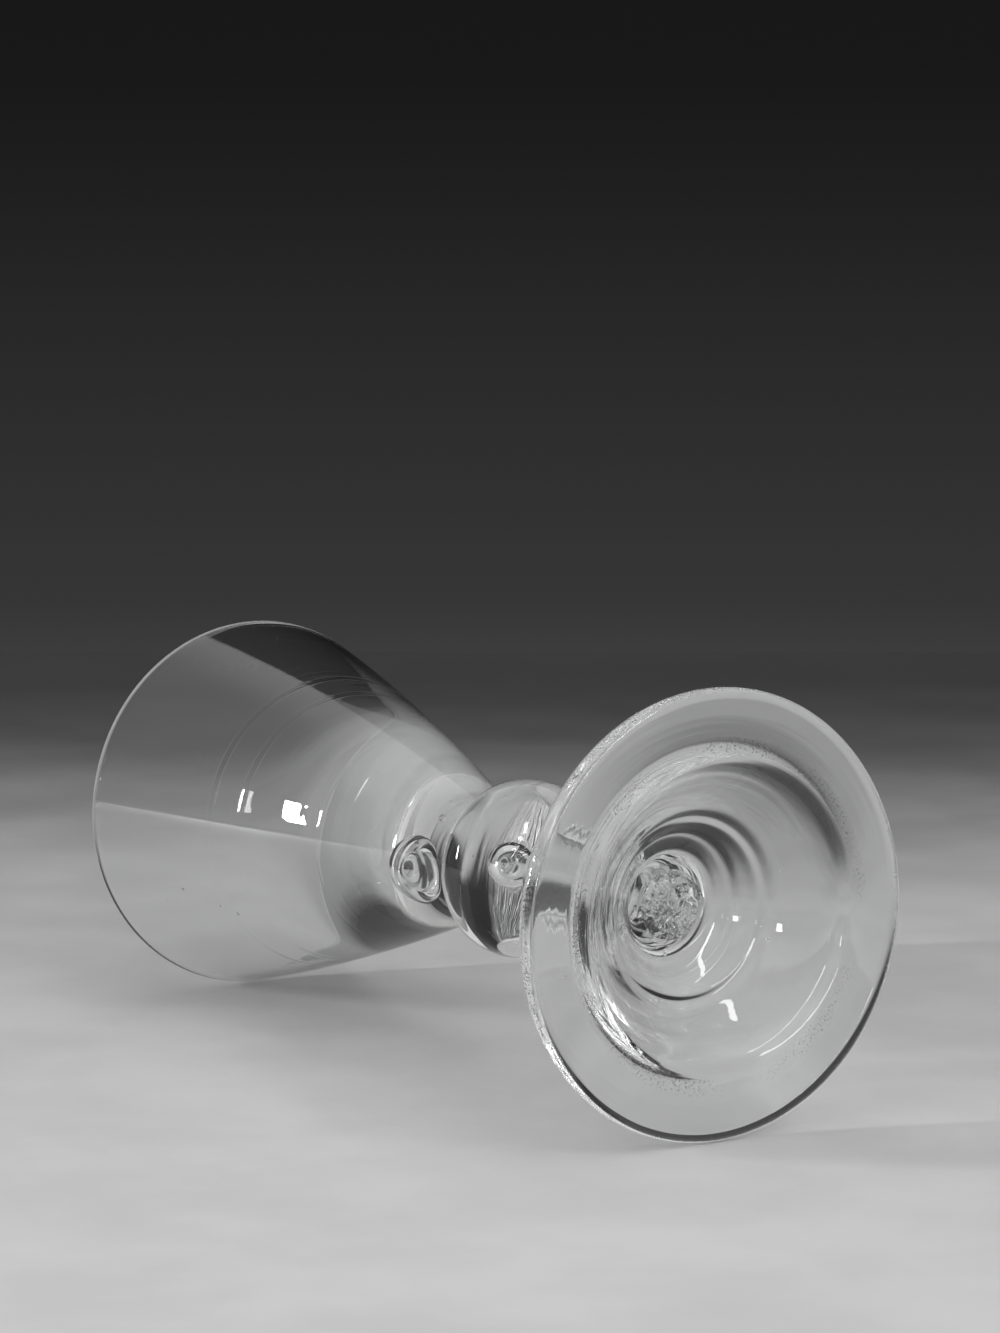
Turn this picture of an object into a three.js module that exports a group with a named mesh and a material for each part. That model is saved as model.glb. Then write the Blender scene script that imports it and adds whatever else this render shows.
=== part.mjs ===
// Heavy hand-blown goblet: a conical bowl on a solid base, a flattened ball knop,
// a short waisted stem and a domed foot that keeps the rough mark of the pontil rod.
// Millimetres. The goblet stands on z = 0 and its axis is +Z.

import * as THREE from "three";

// Overall sizes
const GOBLET_HEIGHT = 171.0;
const FOOT_DIAMETER = 82.0;
const RIM_DIAMETER = 77.0;

// Bowl
const RIM_WALL = 1.4;
const LOWER_WALL_EXTRA = 0.4;
const BOWL_FULLNESS = 6.1;
const BOWL_BASE_THICKNESS = 25.8;
const CAVITY_ROUNDNESS = 12;
const BOWL_NECK_RADIUS = 9.5;

// Knop
const KNOP_DIAMETER = 34.4;
const KNOP_HALF_HEIGHT = 11.4;
const KNOP_LEVEL = 65.1;

// Stem
const STEM_TOP_RADIUS = 7.0;
const STEM_WAIST_RADIUS = 6.3;
const STEM_FOOT_RADIUS = 9.4;
const STEM_WAIST_REACH = 0.25;

// Foot
const FOOT_EDGE_THICKNESS = 4.0;
const FOOT_EDGE_LIFT = 0.4;
const FOOT_BAND_WIDTH = 8.6;
const REST_RING_WIDTH = 3.2;
const DOME_HEIGHT = 16.0;
const DOME_CROWN = 8.0;

// Rings turned into the underside: out from the pontil's seat to the standing ring, and up to the dome
const UNDER_RINGS = [
  { out: 0.13, up: 0.94 },
  { out: 0.24, up: 0.85 },
  { out: 0.32, up: 0.77 },
  { out: 0.385, up: 0.68 },
  { out: 0.44, up: 0.64 },
  { out: 0.5, up: 0.56 },
  { out: 0.58, up: 0.48 },
  { out: 0.67, up: 0.385 },
  { out: 0.75, up: 0.29 },
  { out: 0.82, up: 0.195 },
  { out: 0.88, up: 0.11 },
  { out: 0.93, up: 0.045 },
  { out: 0.97, up: 0.012 },
];

// Rings turned into the upper side: in from the edge to the stem, and up to the foot's top
const OVER_RINGS = [
  { in: 0.118, up: 0.017 },
  { in: 0.236, up: 0.026 },
  { in: 0.277, up: 0.03 },
  { in: 0.321, up: 0.057 },
  { in: 0.372, up: 0.133 },
  { in: 0.422, up: 0.222 },
  { in: 0.49, up: 0.333 },
  { in: 0.574, up: 0.453 },
  { in: 0.676, up: 0.593 },
  { in: 0.75, up: 0.686 },
  { in: 0.804, up: 0.714 },
  { in: 0.845, up: 0.76 },
  { in: 0.892, up: 0.796 },
  { in: 0.939, up: 0.816 },
  { in: 0.973, up: 0.857 },
];

// Pontil mark
const PONTIL_RADIUS = 6.5;
const PONTIL_SEAT_CLEARANCE = 0.7;
const PONTIL_DEPTH = 2.2;
const PONTIL_LIP_INNER_RADIUS = 3.9;
const PONTIL_LIP_OUTER_RADIUS = 5.0;
const PONTIL_BULGE_RADIUS = 6.1;
const PONTIL_BULGE_DEPTH = 1.2;
const PONTIL_HOLLOW_RADIUS = 2.7;
const PONTIL_HOLLOW_FLOOR_RADIUS = 1.8;
const PONTIL_HOLLOW_FLOOR_DEPTH = 0.6;
const PONTIL_HOLLOW_SIDE_DEPTH = 1.2;
const PONTIL_CHIPS = [
  { turns: 3, share: 1.0 },
  { turns: 5, share: 0.7 },
  { turns: 8, share: 0.5 },
];
const PONTIL_EDGE_CHIP = 0.028;
const PONTIL_FACE_CHIP = 0.14;

// Smoothness of the turned surfaces
const SEGMENTS = 60;
const CURVE_STEPS = 11;
const ROUND_STEPS = 6;
const RING_STEPS = 2;
const SHORTEST_STEP = 0.001;

// Colour and clearness of each piece of glass
const GLASS_COLOUR = 0xf1f4f3;
const SCAR_COLOUR = 0xdfe4e3;
const GLASS_ROUGHNESS = 0.08;
const SCAR_ROUGHNESS = 0.55;
const THIN_GLASS_OPACITY = 0.35;
const SOLID_GLASS_OPACITY = 0.4;
const SCAR_OPACITY = 0.6;

const footRadius = FOOT_DIAMETER / 2;
const rimRadius = RIM_DIAMETER / 2;
const knopRadius = KNOP_DIAMETER / 2;

// Where the pieces meet, worked out from the sizes above
const knopTopLevel = KNOP_LEVEL + knopRise(BOWL_NECK_RADIUS);
const knopBottomLevel = KNOP_LEVEL - knopRise(STEM_TOP_RADIUS);
const footTopLevel = DOME_HEIGHT + DOME_CROWN;
const pontilSeatRadius = PONTIL_RADIUS + PONTIL_SEAT_CLEARANCE;
const cavityLevel = knopTopLevel + BOWL_BASE_THICKNESS;
const rimShoulder = GOBLET_HEIGHT - RIM_WALL / 2;

// Height of the knop's side above its middle, at a radius
function knopRise(radius) {
  return KNOP_HALF_HEIGHT * Math.sqrt(1 - (radius / knopRadius) ** 2);
}

function point(radius, level) {
  return new THREE.Vector2(radius, level);
}

function bezier(start, startHandle, endHandle, end) {
  const curve = new THREE.CubicBezierCurve(start, startHandle, endHandle, end);
  return curve.getPoints(CURVE_STEPS);
}

// A smooth line through points
function through(points) {
  return new THREE.SplineCurve(points).getPoints(RING_STEPS * (points.length - 1));
}

function arc(centre, radiusAcross, radiusUp, fromAngle, toAngle, steps) {
  const points = [];
  for (let i = 0; i <= steps; i += 1) {
    const angle = fromAngle + ((toAngle - fromAngle) * i) / steps;
    const across = radiusAcross * Math.cos(angle);
    const up = radiusUp * Math.sin(angle);
    points.push(point(centre.x + across, centre.y + up));
  }
  return points;
}

function withoutRepeats(points) {
  return points.filter((p, i) => i === 0 || p.distanceTo(points[i - 1]) > SHORTEST_STEP);
}

function glassMaterial(name, colour, roughness, opacity) {
  const material = new THREE.MeshStandardMaterial({ color: colour, roughness, metalness: 0 });
  material.name = name;
  material.transparent = true;
  material.opacity = opacity;
  return material;
}

// A closed body turned about the goblet's axis from an outline of radius and level
function turned(name, outline, material) {
  const geometry = new THREE.LatheGeometry(withoutRepeats(outline), SEGMENTS);
  geometry.rotateX(Math.PI / 2);
  const mesh = new THREE.Mesh(geometry, material);
  mesh.name = name;
  return mesh;
}

function bowlOuterRadius(level) {
  const up = (level - knopTopLevel) / (rimShoulder - knopTopLevel);
  const spread = rimRadius - BOWL_NECK_RADIUS;
  return BOWL_NECK_RADIUS + (spread + BOWL_FULLNESS) * up - BOWL_FULLNESS * up * up;
}

function bowlInnerRadius(level) {
  const left = 1 - (level - cavityLevel) / (rimShoulder - cavityLevel);
  const wall = RIM_WALL + LOWER_WALL_EXTRA * left * left;
  return (bowlOuterRadius(level) - wall) * Math.sqrt(1 - left ** CAVITY_ROUNDNESS);
}

// Bowl: solid at the bottom, thin at the fire-polished rim
function bowl() {
  const rimRound = RIM_WALL / 2;
  const outline = [point(0, knopTopLevel)];
  for (let i = 0; i <= CURVE_STEPS; i += 1) {
    const level = knopTopLevel + ((rimShoulder - knopTopLevel) * i) / CURVE_STEPS;
    outline.push(point(bowlOuterRadius(level), level));
  }
  const rimCentre = (bowlOuterRadius(rimShoulder) + bowlInnerRadius(rimShoulder)) / 2;
  const rimHalf = (bowlOuterRadius(rimShoulder) - bowlInnerRadius(rimShoulder)) / 2;
  outline.push(...arc(point(rimCentre, rimShoulder), rimHalf, rimRound, 0, Math.PI, ROUND_STEPS));
  const innerSteps = 2 * CURVE_STEPS;
  for (let i = 1; i < innerSteps; i += 1) {
    const left = 1 - i / innerSteps;
    const level = cavityLevel + (rimShoulder - cavityLevel) * left * left;
    outline.push(point(bowlInnerRadius(level), level));
  }
  outline.push(point(0, cavityLevel));
  const glass = glassMaterial("bowl_glass", GLASS_COLOUR, GLASS_ROUGHNESS, THIN_GLASS_OPACITY);
  return turned("bowl", outline, glass);
}

// Knop: a solid flattened ball, flat where the bowl and the stem are fused to it
function knop() {
  const lowest = -Math.acos(STEM_TOP_RADIUS / knopRadius);
  const highest = Math.acos(BOWL_NECK_RADIUS / knopRadius);
  const centre = point(0, KNOP_LEVEL);
  const side = arc(centre, knopRadius, KNOP_HALF_HEIGHT, lowest, highest, 2 * CURVE_STEPS);
  const outline = [point(0, knopBottomLevel), ...side, point(0, knopTopLevel)];
  const glass = glassMaterial("knop_glass", GLASS_COLOUR, GLASS_ROUGHNESS, SOLID_GLASS_OPACITY);
  return turned("knop", outline, glass);
}

// Stem: a short solid column, waisted, that spreads into the foot
function stem() {
  const reach = STEM_WAIST_REACH * (knopBottomLevel - footTopLevel);
  const side = bezier(
    point(STEM_FOOT_RADIUS, footTopLevel),
    point(STEM_WAIST_RADIUS, footTopLevel + reach),
    point(STEM_WAIST_RADIUS, knopBottomLevel - reach),
    point(STEM_TOP_RADIUS, knopBottomLevel),
  );
  const outline = [point(0, footTopLevel), ...side, point(0, knopBottomLevel)];
  const glass = glassMaterial("stem_glass", GLASS_COLOUR, GLASS_ROUGHNESS, SOLID_GLASS_OPACITY);
  return turned("stem", outline, glass);
}

// Foot: a thick rounded edge, a flat ring to stand on and a dome of turned rings inside it
function foot() {
  const edgeRound = FOOT_EDGE_THICKNESS / 2;
  const edgeCentre = point(footRadius - edgeRound, FOOT_EDGE_LIFT + edgeRound);
  const edgeTop = edgeCentre.y + edgeRound;
  const ringOuter = footRadius - FOOT_BAND_WIDTH;
  const ringInner = ringOuter - REST_RING_WIDTH;
  const underSpan = ringInner - pontilSeatRadius;
  const overSpan = edgeCentre.x - STEM_FOOT_RADIUS;
  const overRise = footTopLevel - edgeTop;
  const underDome = through([
    point(pontilSeatRadius, DOME_HEIGHT),
    ...UNDER_RINGS.map((ring) => point(pontilSeatRadius + ring.out * underSpan, ring.up * DOME_HEIGHT)),
    point(ringInner, 0),
  ]);
  const edge = arc(edgeCentre, edgeRound, edgeRound, -Math.PI / 2, Math.PI / 2, ROUND_STEPS);
  const overDome = through([
    point(edgeCentre.x, edgeTop),
    ...OVER_RINGS.map((ring) => point(edgeCentre.x - ring.in * overSpan, edgeTop + ring.up * overRise)),
    point(STEM_FOOT_RADIUS, footTopLevel),
  ]);
  const outline = [
    point(0, DOME_HEIGHT),
    ...underDome,
    point(ringOuter, 0),
    ...edge,
    ...overDome,
    point(0, footTopLevel),
  ];
  const glass = glassMaterial("foot_glass", GLASS_COLOUR, GLASS_ROUGHNESS, THIN_GLASS_OPACITY);
  return turned("foot", outline, glass);
}

// Chips round the pontil mark, above and below zero, at an angle about the axis
function chipping(angle) {
  return PONTIL_CHIPS.reduce((sum, chip) => sum + chip.share * Math.sin(chip.turns * angle), 0);
}

// Pontil mark: the ragged stub of glass that the pontil rod left under the dome
function pontilMark() {
  const outline = [
    point(0, DOME_HEIGHT - PONTIL_HOLLOW_FLOOR_DEPTH),
    point(PONTIL_HOLLOW_FLOOR_RADIUS, DOME_HEIGHT - PONTIL_HOLLOW_FLOOR_DEPTH),
    point(PONTIL_HOLLOW_RADIUS, DOME_HEIGHT - PONTIL_HOLLOW_SIDE_DEPTH),
    point(PONTIL_LIP_INNER_RADIUS, DOME_HEIGHT - PONTIL_DEPTH),
    point(PONTIL_LIP_OUTER_RADIUS, DOME_HEIGHT - PONTIL_DEPTH),
    point(PONTIL_BULGE_RADIUS, DOME_HEIGHT - PONTIL_BULGE_DEPTH),
    point(PONTIL_RADIUS, DOME_HEIGHT),
    point(0, DOME_HEIGHT),
  ];
  const glass = glassMaterial("pontil_scar", SCAR_COLOUR, SCAR_ROUGHNESS, SCAR_OPACITY);
  const mesh = turned("pontil_mark", outline, glass);
  const position = mesh.geometry.attributes.position;
  for (let i = 0; i < position.count; i += 1) {
    const x = position.getX(i);
    const y = position.getY(i);
    const depth = DOME_HEIGHT - position.getZ(i);
    const chips = chipping(Math.atan2(y, x));
    const outward = Math.min(1, Math.hypot(x, y) / PONTIL_HOLLOW_RADIUS);
    const swell = 1 + PONTIL_EDGE_CHIP * chips;
    const flaking = 1 + PONTIL_FACE_CHIP * chips * outward;
    position.setXYZ(i, x * swell, y * swell, DOME_HEIGHT - depth * flaking);
  }
  mesh.geometry.computeVertexNormals();
  return mesh;
}

const group = new THREE.Group();
group.name = "baluster_goblet";
group.add(bowl(), knop(), stem(), foot(), pontilMark());

export default group;
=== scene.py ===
"""A heavy hand-blown goblet of clear glass: bowl, knop, stem, domed foot and pontil scar.

The goblet stands upright on z = 0 in its own frame. The picture shows it lying down, so the tabletop
of the picture is an upright sheet that touches the edge of its foot and its rim.
"""

import math

import bmesh
import bpy
from mathutils import Matrix, Vector, noise
from mathutils.geometry import interpolate_bezier


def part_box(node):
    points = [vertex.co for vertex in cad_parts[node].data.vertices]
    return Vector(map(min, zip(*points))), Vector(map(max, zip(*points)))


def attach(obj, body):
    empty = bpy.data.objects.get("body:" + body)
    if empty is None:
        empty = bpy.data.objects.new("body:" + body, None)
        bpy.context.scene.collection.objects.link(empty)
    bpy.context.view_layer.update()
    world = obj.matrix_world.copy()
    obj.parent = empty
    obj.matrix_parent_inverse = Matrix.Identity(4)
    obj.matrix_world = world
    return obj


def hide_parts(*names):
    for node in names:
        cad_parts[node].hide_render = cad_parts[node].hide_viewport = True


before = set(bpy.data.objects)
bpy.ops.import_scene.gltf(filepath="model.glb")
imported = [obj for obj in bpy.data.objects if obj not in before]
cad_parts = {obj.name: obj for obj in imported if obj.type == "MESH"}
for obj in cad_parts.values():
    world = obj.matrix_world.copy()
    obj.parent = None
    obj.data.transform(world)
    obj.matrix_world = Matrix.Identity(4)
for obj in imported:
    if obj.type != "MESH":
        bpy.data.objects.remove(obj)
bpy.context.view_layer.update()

MM = 0.001

# Levels and radii taken from the fixed frame
_, FOOT_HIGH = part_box("foot")
STEM_LOW, STEM_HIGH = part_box("stem")
KNOP_LOW, KNOP_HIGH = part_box("knop")
BOWL_LOW, BOWL_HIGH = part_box("bowl")
_, SCAR_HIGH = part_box("pontil_mark")
FOOT_RADIUS = FOOT_HIGH.x
STEM_FOOT_RADIUS = STEM_HIGH.x
KNOP_RADIUS = KNOP_HIGH.x
RIM_RADIUS = BOWL_HIGH.x
FOOT_TOP = STEM_LOW.z
STEM_TOP = KNOP_LOW.z
KNOP_TOP = BOWL_LOW.z
RIM_LEVEL = BOWL_HIGH.z
DOME_LEVEL = SCAR_HIGH.z

# Bowl
RIM_WALL = 1.4 * MM
LOWER_WALL_EXTRA = 0.4 * MM
BOWL_FULLNESS = 6.1 * MM
BOWL_BASE = 25.8 * MM
CAVITY_ROUNDNESS = 12
NECK_RADIUS = 9.5 * MM

# Knop and stem
KNOP_HALF_HEIGHT = 11.4 * MM
STEM_TOP_RADIUS = 7.0 * MM
STEM_WAIST_RADIUS = 6.3 * MM

# Foot
EDGE_THICKNESS = 4.0 * MM
EDGE_LIFT = 0.4 * MM
BAND_WIDTH = 8.6 * MM
REST_WIDTH = 3.2 * MM

# Rings turned into the underside: out from the scar's seat to the standing ring, and up to the dome
UNDER_RINGS = [
    (0.13, 0.94), (0.24, 0.85), (0.32, 0.77), (0.385, 0.68), (0.44, 0.64), (0.50, 0.56), (0.58, 0.48),
    (0.67, 0.385), (0.75, 0.29), (0.82, 0.195), (0.88, 0.11), (0.93, 0.045), (0.97, 0.012),
]

# Rings turned into the upper side: in from the edge to the stem, and up to the foot's top
OVER_RINGS = [
    (0.118, 0.017), (0.236, 0.026), (0.277, 0.03), (0.321, 0.057), (0.372, 0.133), (0.422, 0.222),
    (0.49, 0.333), (0.574, 0.453), (0.676, 0.593), (0.75, 0.686), (0.804, 0.714), (0.845, 0.76),
    (0.892, 0.796), (0.939, 0.816), (0.973, 0.857),
]

# Pontil scar: its face before it is chipped, out from the axis and down from the dome, as shares
SCAR_RADIUS = 6.5 * MM
SEAT_CLEARANCE = 0.7 * MM
SCAR_DEPTH = 2.2 * MM
SCAR_MIDDLE_DEPTH = 0.25
SCAR_FACE = [(0.25, 0.3), (0.45, 0.75), (0.6, 1.0), (0.78, 0.95), (0.9, 0.6)]
SCAR_SHALLOWEST = 0.1 * MM

# Chips and lumps torn out of the scar, as shares of its depth and radius, and its one deep hollow
CHIP_SCALE = 420
CHIP_DEPTH = 0.45
LUMP_SCALE = 260
LUMP_DEPTH = 0.5
SWELL_SHARE = 0.10
SWELL_SHIFT = Vector((7, 3, 1))
SEAT_SHARE = 0.02
HOLLOW_PLACE = Vector((0.6, 3.0)) * MM
HOLLOW_RADIUS = 3.0 * MM
HOLLOW_WALL = 0.35
HOLLOW_DEPTH = 1.3 * MM

# Bubbles: (angle, level, radius, half width, half height) in degrees and millimetres
TEAR_BUBBLE = (-157, 90.8, 6.4, 5.0, 6.6)
KNOP_BUBBLE = (-117, 63.3, 4.8, 3.8, 3.8)
BOWL_BUBBLES = [
    (-87, 82.8, 10.2, 0.85, 0.8),
    (-69, 83.6, 11.6, 0.28, 0.35),
    (-158, 147.8, 31.9, 0.35, 0.22),
    (-170, 135.7, 28.3, 0.42, 0.24),
    (-166, 139.5, 29.3, 0.16, 0.14),
]
KNOP_SMALL_BUBBLES = [
    (-60, 66.5, 12.2, 0.32, 0.26),
    (-118, 62.0, 13.6, 0.22, 0.2),
]
FOOT_BUBBLES = [
    (68, 10.6, 19.4, 0.42, 0.35),
    (143, 16.6, 9.1, 0.5, 0.4),
    (150, 18.0, 10.6, 0.3, 0.3),
    (-148, 2.5, 33.3, 0.35, 0.3),
    (30, 10.2, 21.0, 0.22, 0.2),
]
LARGE_BUBBLE_FINENESS = 5
BUBBLE_FINENESS = 3
SEED_FINENESS = 2

# Fine seeds in the bowl's wall: half width in millimetres, and depth below the outer surface
SEED_COUNT = 26
SEED_SIZE = 0.13
SEED_FLATNESS = 0.8
SEED_DEPTH = 0.7 * MM
SEED_TURN = 137.5
SEED_LEVEL_STEP = 7
SEED_SIZE_STEP = 11
SEEDS_ABOVE_CAVITY = 8 * MM
SEEDS_BELOW_RIM = 10 * MM

# Fineness of the turned surfaces
AROUND = 288
CURVE_STEPS = 24
RING_STEPS = 5
RIM_STEPS = 10
EDGE_STEPS = 14
TOUCHING = 1e-6
FLAT = 0.999

# Glass
GLASS_IOR = 1.53
CLEAR_COLOUR = (0.975, 0.982, 0.98)
FOOT_COLOUR = (0.97, 0.978, 0.976)
SCAR_COLOUR = (0.94, 0.955, 0.95)

# Patterns in the glass: finer with a larger scale, or along one axis with a larger stretch
BOWL_RIPPLE = {"scale": 1.0, "detail": 2.0, "stretch": (14, 14, 620)}
BOWL_WAVE = {"scale": 42, "detail": 1.0, "stretch": (1, 1, 1.6)}
SOLID_SWIRL = {"scale": 1.0, "detail": 2.0, "stretch": (60, 60, 330)}
SOLID_WAVE = {"scale": 55, "detail": 1.0}
FOOT_RINGS = {"scale": 16, "detail": 2.0}
FOOT_WAVE = {"scale": 60, "detail": 1.0}
FOOT_PITS = {"scale": 2300, "detail": 1.0}
FOOT_SCRATCHES = {"scale": 1.0, "detail": 2.0, "stretch": (2400, 180, 200)}
FOOT_PATCHES = {"scale": 60, "detail": 2.0}
SCAR_GRAIN = {"scale": 520, "detail": 1.0}
SCAR_DULLNESS = {"scale": 500, "detail": 2.0}
SCAR_CELL_SCALE = 700
HANDLING_MARKS = {"scale": 38, "detail": 3.0}
RING_STRETCH = 40.0

# Relief of the glass, in millimetres
BOWL_RIPPLE_RISE = 0.0035
BOWL_WAVE_RISE = 0.012
SOLID_SWIRL_RISE = 0.012
SOLID_WAVE_RISE = 0.030
FOOT_RING_RISE = 0.018
FOOT_WAVE_RISE = 0.024
FOOT_PIT_RISE = -0.010
SCAR_CELL_RISE = 0.05
SCAR_GRAIN_RISE = 0.12

# Fine lines tooled round the bowl: level, width and rise, in millimetres
BOWL_LINES = [(137.0, 0.5, 0.012), (129.0, 0.4, 0.008), (107.8, 0.5, 0.010), (98.5, 0.4, 0.006)]

# Where a pattern starts and is full
SMEAR_RANGE = (0.52, 0.75)
PATCH_RANGE = (0.30, 0.55)
PIT_RANGE = (0.57, 0.66)
SCRATCH_RANGE = (0.60, 0.70)
SPECK_RANGE = (0.0, 0.8)
CELL_RANGE = (0.0, 0.3)
DULL_RANGE = (0.45, 0.65)

# Wear of the foot, and the most that handling marks and tearing dull the polish
WORN_LOW = 0.2 * MM
WORN_HIGH = 0.9 * MM
WORN_EDGE = 1.2 * MM
WORN_SPREAD = 0.9
WORN_ROUGHNESS = 0.45
SPECK_SHADE = 0.5
BOWL_SMEARS = 0.025
SOLID_SMEARS = 0.02
FOOT_SMEARS = 0.03
SCAR_ROUGHNESS = 0.10

# Camera, in the goblet's frame
CAMERA_PLACE = Vector((-0.20934, -0.39559, -0.60151))
CAMERA_AIM = Vector((0.02565, -0.02886, 0.06953))
FOCAL_LENGTH = 113.43
SENSOR = 36.0
NEAREST_SEEN = 0.01

# Tabletop of the picture
TABLE_NORMAL = Vector((0.70703, -0.70703, -0.01484)).normalized()
FOOT_TOUCH = Vector((-0.02899, 0.02899, 0.0024))
TABLE_NEAR = -1.5
TABLE_FAR = 0.7
TABLE_HALF_WIDTH = 2.5
# Drift wobbles the edge of the tabletop's painted shade
TABLE_DRIFT = {"scale": 14, "detail": 3.0}
TABLE_DRIFT_REACH = 0.10
TABLE_CLOUDS = {"scale": 30, "detail": 4.0}
CLOUD_RANGE = (0.3, 0.7)
CLOUD_SHADES = (0.95, 1.05)

# Paleness of the tabletop by distance beyond the foot, in metres: painted shade that fades it into the
# dark backdrop
TABLE_PAINTED_SHADE_TONES = [
    (-0.25, 0.76), (-0.10, 0.74), (0.05, 0.70), (0.23, 0.56),
    (0.33, 0.37), (0.42, 0.18), (0.50, 0.082), (0.62, 0.032),
]

# Floor under the standing goblet: mirrored rays don't see it near the foot, out to these radii
FLOOR_HALF = 2.0
FLOOR_TONE = (0.88, 0.88, 0.87, 1)
UNSEEN_RADIUS = 1.5 * FOOT_RADIUS
SEEN_RADIUS = 1.7 * FOOT_RADIUS
SHEET_GAP = 0.2 * MM
SHEET_ROUGHNESS = 0.7

# Dark backdrop: its greys by the sine of the angle above the camera's level, and its top and left edges
BACKDROP_TONES = [
    (-0.152, 0.085), (-0.135, 0.053), (-0.113, 0.037), (-0.04, 0.018), (0.014, 0.008), (0.4, 0.006),
]
BACKDROP_TOP = math.radians(47)
BACKDROP_LEFT = math.radians(62)
BACKDROP_TOP_SOFTNESS = 0.03
BACKDROP_LEFT_SOFTNESS = 0.2

# Glow of the room round the backdrop: from low to high, then how much the left and the back change it,
# each over a range of a direction's part that points up, right or ahead
GLOW_LOW = 0.34
GLOW_HIGH = 0.67
GLOW_LEFT = 0.75
GLOW_BEHIND = 1.35
GLOW_UP_RANGE = (-0.3, 1.05)
GLOW_RIGHT_RANGE = (-0.5, -0.2)
GLOW_AHEAD_RANGE = (-0.5, 0.0)

# Lamps, from the point where the foot touches the table: place (right, ahead, up), width and height in
# metres, lean in degrees and power in watts
LAMP_AIM = (0, 0, 0.05)
LAMPS = [
    ("left_window", (-1.2, -0.048, 0.33), 0.024, 0.28, 10, 6.5),
    ("back_window", (0.84, -1.13, 0.94), 0.11, 1.60, -25, 6.4),
    ("front_lamp", (0.03, -1.9, 0.30), 0.10, 0.16, 0, 1.0),
]

# Light turns many times inside the solid knop before it leaves
GLASS_BOUNCES = 64
CLEAR_BOUNCES = 128


# Outlines: lists of (radius, level)

def knop_rise(radius):
    """Height of the knop's side above its middle."""
    return KNOP_HALF_HEIGHT * math.sqrt(1 - (radius / KNOP_RADIUS) ** 2)


KNOP_LEVEL = KNOP_TOP - knop_rise(NECK_RADIUS)
CAVITY_LEVEL = KNOP_TOP + BOWL_BASE
RIM_SHOULDER = RIM_LEVEL - RIM_WALL / 2


def curve(start, start_handle, end_handle, end, steps):
    knots = [Vector((*knot, 0)) for knot in (start, start_handle, end_handle, end)]
    return [(p.x, p.y) for p in interpolate_bezier(*knots, steps + 1)]


def through(points):
    """A smooth line through points."""
    knots = [Vector(p) for p in (points[0], *points, points[-1])]
    line = []
    for before, start, end, after in zip(knots, knots[1:], knots[2:], knots[3:]):
        start_handle = start + (end - before) / 6
        end_handle = end - (after - start) / 6
        line += curve(start, start_handle, end_handle, end, RING_STEPS)[:-1]
    return [*line, points[-1]]


def arc(centre, across, up, from_angle, to_angle, steps):
    points = []
    for i in range(steps + 1):
        angle = from_angle + (to_angle - from_angle) * i / steps
        points.append((centre[0] + across * math.cos(angle), centre[1] + up * math.sin(angle)))
    return points


def bowl_outer_radius(level):
    up = (level - KNOP_TOP) / (RIM_SHOULDER - KNOP_TOP)
    spread = RIM_RADIUS - NECK_RADIUS
    return NECK_RADIUS + (spread + BOWL_FULLNESS) * up - BOWL_FULLNESS * up * up


def bowl_inner_radius(level):
    left = 1 - (level - CAVITY_LEVEL) / (RIM_SHOULDER - CAVITY_LEVEL)
    wall = RIM_WALL + LOWER_WALL_EXTRA * left * left
    return (bowl_outer_radius(level) - wall) * math.sqrt(max(0, 1 - left ** CAVITY_ROUNDNESS))


def bowl_outline():
    steps = 4 * CURVE_STEPS
    outline = [(0, KNOP_TOP)]
    for i in range(steps + 1):
        level = KNOP_TOP + (RIM_SHOULDER - KNOP_TOP) * i / steps
        outline.append((bowl_outer_radius(level), level))
    outer = bowl_outer_radius(RIM_SHOULDER)
    inner = bowl_inner_radius(RIM_SHOULDER)
    rim_centre = ((outer + inner) / 2, RIM_SHOULDER)
    outline += arc(rim_centre, (outer - inner) / 2, RIM_WALL / 2, 0, math.pi, RIM_STEPS)
    for i in range(1, steps):
        left = 1 - i / steps
        level = CAVITY_LEVEL + (RIM_SHOULDER - CAVITY_LEVEL) * left * left
        outline.append((bowl_inner_radius(level), level))
    outline.append((0, CAVITY_LEVEL))
    return outline


def knop_outline():
    lowest = -math.acos(STEM_TOP_RADIUS / KNOP_RADIUS)
    highest = math.acos(NECK_RADIUS / KNOP_RADIUS)
    side = arc((0, KNOP_LEVEL), KNOP_RADIUS, KNOP_HALF_HEIGHT, lowest, highest, 3 * CURVE_STEPS)
    return [(0, STEM_TOP), *side, (0, KNOP_TOP)]


def stem_outline():
    reach = (STEM_TOP - FOOT_TOP) / 4
    side = curve(
        (STEM_FOOT_RADIUS, FOOT_TOP),
        (STEM_WAIST_RADIUS, FOOT_TOP + reach),
        (STEM_WAIST_RADIUS, STEM_TOP - reach),
        (STEM_TOP_RADIUS, STEM_TOP),
        2 * CURVE_STEPS,
    )
    return [(0, FOOT_TOP), *side, (0, STEM_TOP)]


def foot_outline():
    edge_round = EDGE_THICKNESS / 2
    edge_radius = FOOT_RADIUS - edge_round
    edge_top = EDGE_LIFT + EDGE_THICKNESS
    edge_centre = (edge_radius, EDGE_LIFT + edge_round)
    rest_outer = FOOT_RADIUS - BAND_WIDTH
    rest_inner = rest_outer - REST_WIDTH
    seat = SCAR_RADIUS + SEAT_CLEARANCE
    under = [(seat + out * (rest_inner - seat), up * DOME_LEVEL) for out, up in UNDER_RINGS]
    over = [
        (edge_radius - inward * (edge_radius - STEM_FOOT_RADIUS), edge_top + up * (FOOT_TOP - edge_top))
        for inward, up in OVER_RINGS
    ]
    return [
        (0, DOME_LEVEL),
        *through([(seat, DOME_LEVEL), *under, (rest_inner, 0)]),
        (rest_outer, 0),
        *arc(edge_centre, edge_round, edge_round, -math.pi / 2, math.pi / 2, EDGE_STEPS)[:-1],
        *through([(edge_radius, edge_top), *over, (STEM_FOOT_RADIUS, FOOT_TOP)]),
        (0, FOOT_TOP),
    ]


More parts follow.
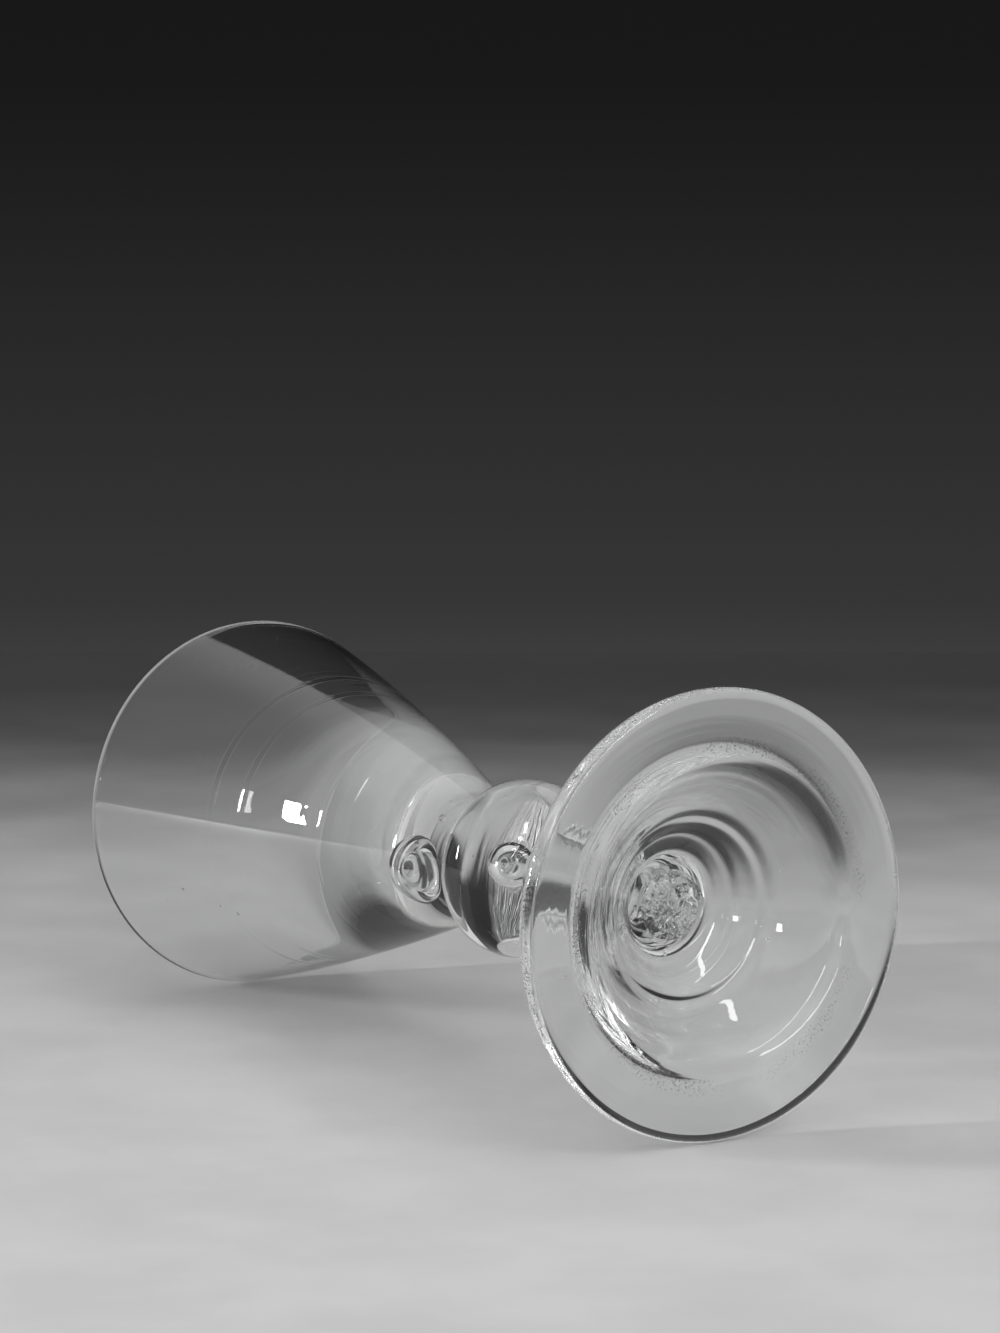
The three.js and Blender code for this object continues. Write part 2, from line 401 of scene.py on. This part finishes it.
def scar_outline():
    face = [(share * SCAR_RADIUS, DOME_LEVEL - depth * SCAR_DEPTH) for share, depth in SCAR_FACE]
    middle = (0, DOME_LEVEL - SCAR_MIDDLE_DEPTH * SCAR_DEPTH)
    return [*through([middle, *face, (SCAR_RADIUS, DOME_LEVEL)]), (0, DOME_LEVEL)]


# Meshes

def spun(outline):
    """A closed solid spun about the goblet's axis from its outline."""
    bm = bmesh.new()
    line = [bm.verts.new((r, 0, z)) for r, z in outline]
    edges = [bm.edges.new(pair) for pair in zip(line, line[1:])]
    bmesh.ops.spin(
        bm, geom=line + edges, cent=(0, 0, 0), axis=(0, 0, 1), angle=math.tau, steps=AROUND, use_merge=True
    )
    bmesh.ops.remove_doubles(bm, verts=bm.verts, dist=TOUCHING)
    bmesh.ops.recalc_face_normals(bm, faces=bm.faces)
    for face in bm.faces:
        face.smooth = True
    return bm


def fuse(bm, levels):
    """The flat faces at these levels are fused to the next piece of glass."""
    for face in bm.faces:
        level = face.calc_center_median().z
        if abs(face.normal.z) > FLAT and any(abs(level - z) < TOUCHING for z in levels):
            face.smooth = False
            face.material_index = 1


def add_bubble(bm, angle, level, radius, across, along, fineness=BUBBLE_FINENESS):
    """A bubble closed inside the glass: an egg whose faces look into it."""
    turn = math.radians(angle)
    place = Vector((radius * math.cos(turn), radius * math.sin(turn), level))
    shape = Matrix.Translation(place * MM) @ Matrix.Diagonal((across * MM, across * MM, along * MM, 1))
    made = bmesh.ops.create_icosphere(bm, subdivisions=fineness, radius=1, matrix=shape)
    faces = {face for vert in made["verts"] for face in vert.link_faces}
    for face in faces:
        face.smooth = True
    bmesh.ops.reverse_faces(bm, faces=list(faces))


def add_seeds(bm):
    """Fine seeds in the bowl's wall, spread round it by equal turns."""
    lowest = CAVITY_LEVEL + SEEDS_ABOVE_CAVITY
    highest = RIM_LEVEL - SEEDS_BELOW_RIM
    for i in range(SEED_COUNT):
        share = (i + 0.5) / SEED_COUNT
        level = lowest + (highest - lowest) * ((share * SEED_LEVEL_STEP) % 1)
        width = SEED_SIZE * (0.5 + 0.5 * ((share * SEED_SIZE_STEP) % 1))
        radius = bowl_outer_radius(level) - SEED_DEPTH
        add_bubble(bm, SEED_TURN * i, level / MM, radius / MM, width, SEED_FLATNESS * width, SEED_FINENESS)


def finished(name, bm, glass):
    mesh = bpy.data.meshes.new(name)
    bm.to_mesh(mesh)
    bm.free()
    mesh.materials.append(glass)
    mesh.materials.append(FUSED)
    piece = bpy.data.objects.new(name, mesh)
    bpy.context.scene.collection.objects.link(piece)
    return piece


def make_bowl():
    bm = spun(bowl_outline())
    fuse(bm, [KNOP_TOP])
    add_bubble(bm, *TEAR_BUBBLE, fineness=LARGE_BUBBLE_FINENESS)
    for bubble in BOWL_BUBBLES:
        add_bubble(bm, *bubble)
    add_seeds(bm)
    return finished("bowl_glass", bm, bowl_glass())


def make_knop():
    bm = spun(knop_outline())
    fuse(bm, [STEM_TOP, KNOP_TOP])
    add_bubble(bm, *KNOP_BUBBLE, fineness=LARGE_BUBBLE_FINENESS)
    for bubble in KNOP_SMALL_BUBBLES:
        add_bubble(bm, *bubble)
    return finished("knop_glass", bm, solid_glass("knop_glass"))


def make_stem():
    bm = spun(stem_outline())
    fuse(bm, [FOOT_TOP, STEM_TOP])
    return finished("stem_glass", bm, solid_glass("stem_glass"))


def make_foot():
    bm = spun(foot_outline())
    fuse(bm, [FOOT_TOP])
    for bubble in FOOT_BUBBLES:
        add_bubble(bm, *bubble)
    return finished("foot_glass", bm, foot_glass())


def tear(vert, depth):
    """Moves a point of the scar's face, this deep as a share, into its chips, lumps and hollow."""
    distances, _ = noise.voronoi(vert.co * CHIP_SCALE)
    chip = distances[1] - distances[0]
    lump = noise.noise(vert.co * LUMP_SCALE)
    vert.co.z += SCAR_DEPTH * min(1, depth * 2) * (CHIP_DEPTH * chip + LUMP_DEPTH * lump)
    wall = min(1, max(0, 1 - (vert.co.xy - HOLLOW_PLACE).length / HOLLOW_RADIUS) / HOLLOW_WALL)
    vert.co.z += HOLLOW_DEPTH * wall * wall * (3 - 2 * wall)
    swell = 1 + SWELL_SHARE * noise.noise(vert.co * LUMP_SCALE + SWELL_SHIFT)
    vert.co.x *= swell
    vert.co.y *= swell
    vert.co.z = min(vert.co.z, DOME_LEVEL - SCAR_SHALLOWEST)


def make_scar():
    """The stub that broke off the pontil rod: torn glass with shell-shaped chips and one deep hollow."""
    bm = spun(scar_outline())
    fuse(bm, [DOME_LEVEL])
    for vert in bm.verts:
        depth = (DOME_LEVEL - vert.co.z) / SCAR_DEPTH
        if depth >= SEAT_SHARE:
            tear(vert, depth)
    bm.normal_update()
    return finished("pontil_scar", bm, torn_glass())


# Materials

def new_material(name):
    material = bpy.data.materials.new(name)
    material.use_nodes = True
    return material


def add_node(tree, kind, settings, inputs):
    """A node with its settings and its inputs, each a value or another node's output."""
    node = tree.nodes.new(kind)
    for name, value in settings.items():
        setattr(node, name, value)
    for socket, value in inputs.items():
        if isinstance(value, bpy.types.NodeSocket):
            tree.links.new(value, node.inputs[socket])
        else:
            node.inputs[socket].default_value = value
    return node


def maths(tree, operation, *values):
    return add_node(tree, "ShaderNodeMath", {"operation": operation}, dict(enumerate(values))).outputs[0]


def vector_maths(tree, operation, *values):
    node = add_node(tree, "ShaderNodeVectorMath", {"operation": operation}, dict(enumerate(values)))
    return node.outputs["Value" if operation in ("DOT_PRODUCT", "LENGTH") else "Vector"]


def scaled(tree, vector, factor):
    """A vector or colour times a factor that another node gives."""
    node = add_node(tree, "ShaderNodeVectorMath", {"operation": "SCALE"}, {0: vector, "Scale": factor})
    return node.outputs["Vector"]


def ramp(tree, value, low, high, to_low=0.0, to_high=1.0):
    """A soft step from one value to another."""
    inputs = {"Value": value, "From Min": low, "From Max": high, "To Min": to_low, "To Max": to_high}
    node = add_node(tree, "ShaderNodeMapRange", {"interpolation_type": "SMOOTHSTEP"}, inputs)
    return node.outputs["Result"]


def place_on_glass(tree):
    """Object coordinates: the vector, the distance from the axis and the level."""
    vector = tree.nodes.new("ShaderNodeTexCoord").outputs["Object"]
    parts = add_node(tree, "ShaderNodeSeparateXYZ", {}, {0: vector})
    across = vector_maths(tree, "MULTIPLY", vector, (1, 1, 0))
    return vector, vector_maths(tree, "LENGTH", across), parts.outputs["Z"]


def mottle(tree, vector, scale, detail, stretch=(1, 1, 1)):
    stretched = vector_maths(tree, "MULTIPLY", vector, stretch)
    inputs = {"Vector": stretched, "Scale": scale, "Detail": detail}
    return add_node(tree, "ShaderNodeTexNoise", {}, inputs).outputs["Fac"]


def ridge(tree, value, middle, width):
    """One raised line round the glass: 1 on the line, 0 beside it."""
    off = maths(tree, "ABSOLUTE", maths(tree, "SUBTRACT", value, middle))
    return ramp(tree, off, 0.0, width, 1.0, 0.0)


def layered(tree, layers):
    """Relief that adds up patterns, each with its rise."""
    height = 0.0
    for pattern, rise in layers:
        height = maths(tree, "MULTIPLY_ADD", pattern, rise, height)
    return height


def smears(tree, vector, most):
    """Faint handling marks that dull the polish a little."""
    return ramp(tree, mottle(tree, vector, **HANDLING_MARKS), *SMEAR_RANGE, 0.0, most)


def set_glass(tree, colour, roughness, height):
    """Clear glass with a relief given in millimetres."""
    shader = tree.nodes["Principled BSDF"]
    shader.inputs["Base Color"].default_value = (*colour, 1)
    shader.inputs["IOR"].default_value = GLASS_IOR
    shader.inputs["Transmission Weight"].default_value = 1.0
    tree.links.new(roughness, shader.inputs["Roughness"])
    relief = add_node(tree, "ShaderNodeBump", {}, {"Height": height, "Distance": MM, "Strength": 1.0})
    tree.links.new(relief.outputs["Normal"], shader.inputs["Normal"])


def bowl_glass():
    material = new_material("bowl_glass")
    tree = material.node_tree
    vector, _, level = place_on_glass(tree)
    layers = [
        (mottle(tree, vector, **BOWL_RIPPLE), BOWL_RIPPLE_RISE),
        (mottle(tree, vector, **BOWL_WAVE), BOWL_WAVE_RISE),
    ]
    for line_level, width, rise in BOWL_LINES:
        layers.append((ridge(tree, level, line_level * MM, width * MM), rise))
    set_glass(tree, CLEAR_COLOUR, smears(tree, vector, BOWL_SMEARS), layered(tree, layers))
    return material


def solid_glass(name):
    material = new_material(name)
    tree = material.node_tree
    vector, _, _ = place_on_glass(tree)
    layers = [
        (mottle(tree, vector, **SOLID_SWIRL), SOLID_SWIRL_RISE),
        (mottle(tree, vector, **SOLID_WAVE), SOLID_WAVE_RISE),
    ]
    set_glass(tree, CLEAR_COLOUR, smears(tree, vector, SOLID_SMEARS), layered(tree, layers))
    return material


def foot_wear(tree, vector, radius, level):
    """Pits and scratches in patches, where the foot has stood and on its outer edge."""
    rest = ridge(tree, radius, FOOT_RADIUS - BAND_WIDTH - REST_WIDTH / 2, WORN_SPREAD * REST_WIDTH)
    rest = maths(tree, "MULTIPLY", rest, ramp(tree, level, WORN_LOW, WORN_HIGH, 1.0, 0.0))
    edge = ramp(tree, radius, FOOT_RADIUS - WORN_EDGE, FOOT_RADIUS)
    patches = ramp(tree, mottle(tree, vector, **FOOT_PATCHES), *PATCH_RANGE)
    worn = maths(tree, "MULTIPLY", maths(tree, "MAXIMUM", rest, edge), patches)
    pits = ramp(tree, mottle(tree, vector, **FOOT_PITS), *PIT_RANGE)
    scratches = ramp(tree, mottle(tree, vector, **FOOT_SCRATCHES), *SCRATCH_RANGE)
    return maths(tree, "MULTIPLY", worn, pits), maths(tree, "MULTIPLY", worn, scratches)


def foot_glass():
    material = new_material("foot_glass")
    tree = material.node_tree
    vector, radius, level = place_on_glass(tree)
    stretched_radius = maths(tree, "MULTIPLY", radius, RING_STRETCH)
    ringed = add_node(tree, "ShaderNodeCombineXYZ", {}, {0: stretched_radius}).outputs[0]
    ring_place = vector_maths(tree, "ADD", vector, ringed)
    pitted, scored = foot_wear(tree, vector, radius, level)
    layers = [
        (mottle(tree, ring_place, **FOOT_RINGS), FOOT_RING_RISE),
        (mottle(tree, vector, **FOOT_WAVE), FOOT_WAVE_RISE),
        (pitted, FOOT_PIT_RISE),
    ]
    wear = maths(tree, "MAXIMUM", pitted, scored)
    roughness = maths(tree, "MULTIPLY_ADD", wear, WORN_ROUGHNESS, smears(tree, vector, FOOT_SMEARS))
    set_glass(tree, FOOT_COLOUR, roughness, layered(tree, layers))
    # Each pit shows as a darker speck
    specks = scaled(tree, FOOT_COLOUR, ramp(tree, pitted, *SPECK_RANGE, 1.0, SPECK_SHADE))
    tree.links.new(specks, tree.nodes["Principled BSDF"].inputs["Base Color"])
    return material


def torn_glass():
    material = new_material("pontil_scar")
    tree = material.node_tree
    vector, _, _ = place_on_glass(tree)
    inputs = {"Vector": vector, "Scale": SCAR_CELL_SCALE}
    cells = add_node(tree, "ShaderNodeTexVoronoi", {"feature": "DISTANCE_TO_EDGE"}, inputs)
    layers = [
        (ramp(tree, cells.outputs["Distance"], *CELL_RANGE), SCAR_CELL_RISE),
        (mottle(tree, vector, **SCAR_GRAIN), SCAR_GRAIN_RISE),
    ]
    roughness = ramp(tree, mottle(tree, vector, **SCAR_DULLNESS), *DULL_RANGE, 0.0, SCAR_ROUGHNESS)
    set_glass(tree, SCAR_COLOUR, roughness, layered(tree, layers))
    return material


def fused_joint():
    """The face where two pieces of hot glass were fused: nothing shows there."""
    material = new_material("fused_joint")
    shader = material.node_tree.nodes["Principled BSDF"]
    shader.inputs["Alpha"].default_value = 0.0
    shader.inputs["IOR"].default_value = 1.0
    return material


# Studio

def camera_axes():
    ahead = (CAMERA_AIM - CAMERA_PLACE).normalized()
    right = ahead.cross(TABLE_NORMAL).normalized()
    return right, right.cross(ahead), ahead


def studio_axes():
    """Directions of the studio: right, ahead and up from the tabletop."""
    ahead = camera_axes()[2]
    level_ahead = (ahead - ahead.dot(TABLE_NORMAL) * TABLE_NORMAL).normalized()
    return level_ahead.cross(TABLE_NORMAL), level_ahead, TABLE_NORMAL


def studio_point(right, ahead, up):
    """A place in the studio, from the point where the foot touches the table."""
    x, y, z = studio_axes()
    return FOOT_TOUCH + right * x + ahead * y + up * z


def make_camera():
    right, up, ahead = camera_axes()
    data = bpy.data.cameras.new("camera")
    data.lens = FOCAL_LENGTH
    data.sensor_width = SENSOR
    data.clip_start = NEAREST_SEEN
    camera = bpy.data.objects.new("camera", data)
    turn = Matrix((right, up, -ahead)).transposed().to_4x4()
    camera.matrix_world = Matrix.Translation(CAMERA_PLACE) @ turn
    bpy.context.scene.collection.objects.link(camera)
    bpy.context.scene.camera = camera


def make_lamp(name, place, width, height, lean, power):
    """A soft rectangular lamp. Its height runs up from the tabletop, leaning by an angle."""
    data = bpy.data.lights.new(name, "AREA")
    data.shape = "RECTANGLE"
    data.size = width
    data.size_y = height
    data.energy = power
    lamp = bpy.data.objects.new(name, data)
    stand = studio_point(*place)
    back = (stand - studio_point(*LAMP_AIM)).normalized()
    across = TABLE_NORMAL.cross(back).normalized()
    turn = Matrix((across, back.cross(across), back)).transposed().to_4x4()
    turn = turn @ Matrix.Rotation(math.radians(lean), 4, "Z")
    lamp.matrix_world = Matrix.Translation(stand) @ turn
    bpy.context.scene.collection.objects.link(lamp)


def seen_from_front(material, hidden=None):
    """The sheet shows only from its front, and not at all where hidden is 1."""
    tree = material.node_tree
    behind = tree.nodes.new("ShaderNodeNewGeometry").outputs["Backfacing"]
    if hidden is not None:
        behind = maths(tree, "MAXIMUM", behind, hidden)
    clear = tree.nodes.new("ShaderNodeBsdfTransparent").outputs[0]
    shown = tree.nodes["Principled BSDF"].outputs[0]
    mix = add_node(tree, "ShaderNodeMixShader", {}, {0: behind, 1: shown, 2: clear})
    tree.links.new(mix.outputs[0], tree.nodes["Material Output"].inputs["Surface"])


def tone_ramp(tree, value, tones):
    """A colour ramp through (position, grey) stops."""
    low, high = tones[0][0], tones[-1][0]
    place = add_node(tree, "ShaderNodeMapRange", {}, {"Value": value, "From Min": low, "From Max": high})
    colours = add_node(tree, "ShaderNodeValToRGB", {}, {"Fac": place.outputs["Result"]})
    colours.color_ramp.interpolation = "B_SPLINE"
    stops = colours.color_ramp.elements
    stops.remove(stops[-1])
    stops[0].position = 0.0
    stops[0].color = (tones[0][1], tones[0][1], tones[0][1], 1)
    for position, grey in tones[1:]:
        stops.new((position - low) / (high - low)).color = (grey, grey, grey, 1)
    return colours.outputs["Color"]


def tabletop_material():
    material = new_material("tabletop")
    tree = material.node_tree
    shader = tree.nodes["Principled BSDF"]
    shader.inputs["Roughness"].default_value = SHEET_ROUGHNESS
    vector = tree.nodes.new("ShaderNodeTexCoord").outputs["Object"]
    # Painted shade: the tabletop's colour darkens with distance beyond the foot, its edge wobbled by
    # drift; the clouds are its own mottling
    from_foot = vector_maths(tree, "SUBTRACT", vector, FOOT_TOUCH)
    depth = vector_maths(tree, "DOT_PRODUCT", from_foot, studio_axes()[1])
    drift = maths(tree, "SUBTRACT", mottle(tree, vector, **TABLE_DRIFT), 0.5)
    depth = maths(tree, "MULTIPLY_ADD", drift, TABLE_DRIFT_REACH, depth)
    painted_shade_tone = tone_ramp(tree, depth, TABLE_PAINTED_SHADE_TONES)
    clouds = ramp(tree, mottle(tree, vector, **TABLE_CLOUDS), *CLOUD_RANGE, *CLOUD_SHADES)
    tree.links.new(scaled(tree, painted_shade_tone, clouds), shader.inputs["Base Color"])
    seen_from_front(material)
    return material


def floor_material():
    """Pale floor under the standing goblet. Shadow and diffuse rays don't see it, nor do mirrored rays
    near the foot, so it takes no light from the picture."""
    material = new_material("floor")
    tree = material.node_tree
    shader = tree.nodes["Principled BSDF"]
    shader.inputs["Base Color"].default_value = FLOOR_TONE
    shader.inputs["Roughness"].default_value = SHEET_ROUGHNESS
    path = tree.nodes.new("ShaderNodeLightPath")
    soft = maths(tree, "MAXIMUM", path.outputs["Is Shadow Ray"], path.outputs["Is Diffuse Ray"])
    _, radius, _ = place_on_glass(tree)
    under_foot = ramp(tree, radius, UNSEEN_RADIUS, SEEN_RADIUS, 1.0, 0.0)
    mirrored = maths(tree, "MULTIPLY", path.outputs["Is Glossy Ray"], under_foot)
    seen_from_front(material, maths(tree, "MAXIMUM", soft, mirrored))
    return material


def make_sheet(name, material, half_width, near, far, place):
    bm = bmesh.new()
    bmesh.ops.create_grid(bm, x_segments=1, y_segments=1, size=1.0)
    bmesh.ops.scale(bm, vec=(half_width, (far - near) / 2, 1), verts=bm.verts)
    bmesh.ops.translate(bm, vec=(0, (far + near) / 2, 0), verts=bm.verts)
    bmesh.ops.transform(bm, matrix=place, verts=bm.verts)
    mesh = bpy.data.meshes.new(name)
    bm.to_mesh(mesh)
    bm.free()
    mesh.materials.append(material)
    sheet = bpy.data.objects.new(name, mesh)
    bpy.context.scene.collection.objects.link(sheet)


def make_tabletop():
    right, ahead, up = studio_axes()
    turn = Matrix((right, ahead, up)).transposed().to_4x4()
    place = Matrix.Translation(FOOT_TOUCH - SHEET_GAP * up) @ turn
    make_sheet("tabletop", tabletop_material(), TABLE_HALF_WIDTH, TABLE_NEAR, TABLE_FAR, place)


def make_floor():
    place = Matrix.Translation((0, 0, -SHEET_GAP))
    make_sheet("floor", floor_material(), FLOOR_HALF, -FLOOR_HALF, FLOOR_HALF, place)


def backdrop_shape(tree, x, y, z):
    """1 on the dark backdrop and 0 beside it: an upright sheet ahead with straight top and left edges."""
    under_top = maths(tree, "SUBTRACT", maths(tree, "MULTIPLY", y, math.tan(BACKDROP_TOP)), z)
    from_left = maths(tree, "MULTIPLY_ADD", y, math.tan(BACKDROP_LEFT), x)
    below_top = ramp(tree, under_top, 0.0, BACKDROP_TOP_SOFTNESS)
    inside_left = ramp(tree, from_left, 0.0, BACKDROP_LEFT_SOFTNESS)
    return maths(tree, "MULTIPLY", below_top, inside_left)


def room_glow(tree, x, y, z):
    """The pale room: brighter upward and behind the camera, and less bright on the left."""
    glow = ramp(tree, z, *GLOW_UP_RANGE, GLOW_LOW, GLOW_HIGH)
    glow = maths(tree, "MULTIPLY", glow, ramp(tree, x, *GLOW_RIGHT_RANGE, GLOW_LEFT, 1.0))
    return maths(tree, "MULTIPLY", glow, ramp(tree, y, *GLOW_AHEAD_RANGE, GLOW_BEHIND, 1.0))


def make_world():
    world = bpy.data.worlds.new("studio")
    world.use_nodes = True
    tree = world.node_tree
    direction = tree.nodes.new("ShaderNodeTexCoord").outputs["Generated"]
    x, y, z = (vector_maths(tree, "DOT_PRODUCT", direction, axis) for axis in studio_axes())
    mix = add_node(tree, "ShaderNodeMix", {"data_type": "RGBA"}, {"Factor": backdrop_shape(tree, x, y, z)})
    tree.links.new(room_glow(tree, x, y, z), mix.inputs["A"])
    tree.links.new(tone_ramp(tree, z, BACKDROP_TONES), mix.inputs["B"])
    tree.links.new(mix.outputs["Result"], tree.nodes["Background"].inputs["Color"])
    bpy.context.scene.world = world


def dress(piece, node):
    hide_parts(node)
    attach(piece, "root")


make_camera()
make_world()
make_tabletop()
make_floor()
for lamp in LAMPS:
    make_lamp(*lamp)

FUSED = fused_joint()
dress(make_bowl(), "bowl")
dress(make_knop(), "knop")
dress(make_stem(), "stem")
dress(make_foot(), "foot")
dress(make_scar(), "pontil_mark")

scene = bpy.context.scene
scene.view_settings.view_transform = "Standard"
scene.cycles.max_bounces = GLASS_BOUNCES
scene.cycles.glossy_bounces = GLASS_BOUNCES
scene.cycles.transmission_bounces = GLASS_BOUNCES
scene.cycles.transparent_max_bounces = CLEAR_BOUNCES
